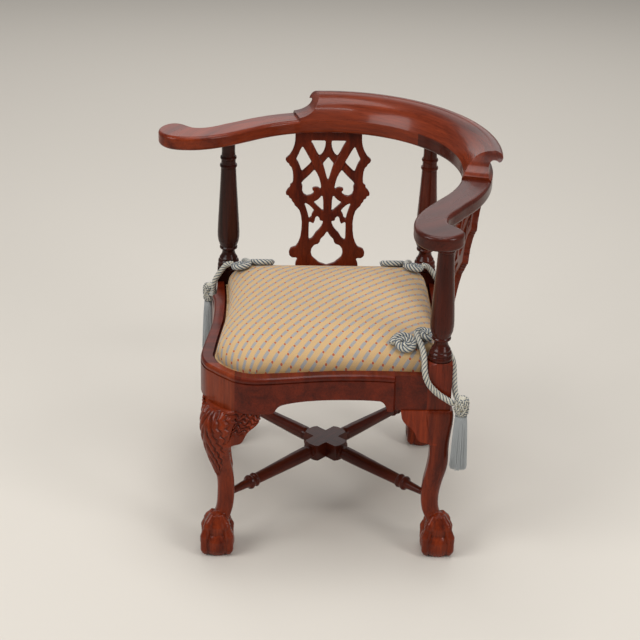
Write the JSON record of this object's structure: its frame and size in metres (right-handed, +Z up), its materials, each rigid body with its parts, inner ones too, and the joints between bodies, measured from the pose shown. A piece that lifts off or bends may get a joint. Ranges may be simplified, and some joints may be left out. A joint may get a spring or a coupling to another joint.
{
  "type": "child's corner chair",
  "caption": "Child-size corner chair: turned posts, pierced splats, a curved crest and arms round a square drop-in seat set cornerwise on carved claw-and-ball legs with crossed stretchers.",
  "frame": {"origin": "on the floor under the middle of the chair", "axes": "+Z up; -Y points out through the front corner of the seat; +X points to the post on the right when the chair is seen from its front corner"},
  "size_m": [0.567, 0.5219, 0.5666],
  "materials": {
    "mahogany": "semi-gloss",
    "mahogany_light": "semi-gloss",
    "pine": "matt",
    "beech": "matt",
    "steel": "satin",
    "seat_fabric": "woven",
    "padding": "matt",
    "dust_cloth": "matt",
    "cord": "satin",
    "tassel": "satin"
  },
  "bodies": {
    "chair_frame": {"front_leg": "mahogany_light", "front_bracket_a": "mahogany_light", "front_bracket_b": "mahogany_light", "front_glue_block": "pine", "right_leg": "mahogany", "right_bracket_a": "mahogany", "right_bracket_b": "mahogany", "right_glue_block": "pine", "back_leg": "mahogany", "back_bracket_a": "mahogany", "back_bracket_b": "mahogany", "back_glue_block": "pine", "left_leg": "mahogany", "left_bracket_a": "mahogany", "left_bracket_b": "mahogany", "left_glue_block": "pine", "right_post": "mahogany", "back_post": "mahogany", "left_post": "mahogany", "front_right_rail": "mahogany", "front_left_rail": "mahogany", "back_right_rail": "mahogany", "back_left_rail": "mahogany", "front_corner_block": "mahogany_light", "glue_block_screws": "steel", "stretcher_left_right": "mahogany", "stretcher_front_back": "mahogany", "right_arm": "mahogany", "left_arm": "mahogany", "crest_rail": "mahogany", "crest_dowels": "beech", "right_splat": "mahogany_light", "right_splat_shoe": "mahogany", "left_splat": "mahogany_light", "left_splat_shoe": "mahogany"},
    "slip_seat": {"seat_board": "pine", "seat_padding": "padding", "seat_cover": "seat_fabric", "seat_dust_cover": "dust_cloth", "right_tie_large_rosette": "cord", "right_tie_small_rosette": "cord", "right_tie_front_strand": "cord", "right_tie_back_strand": "cord", "right_tassel_head": "tassel", "right_tassel_skirt": "tassel", "left_tie_large_rosette": "cord", "left_tie_small_rosette": "cord", "left_tie_front_strand": "cord", "left_tie_back_strand": "cord", "left_tassel_head": "tassel", "left_tassel_skirt": "tassel", "back_tie_large_rosette": "cord", "back_tie_small_rosette": "cord", "back_tie_front_strand": "cord", "back_tie_back_strand": "cord", "back_tassel_head": "tassel", "back_tassel_skirt": "tassel"}
  },
  "joints": [
    {"name": "seat_lift", "type": "slide", "parent": "chair_frame", "child": "slip_seat", "axis": [0, 0, 1], "range_m": [0, 0.06]}
  ]
}
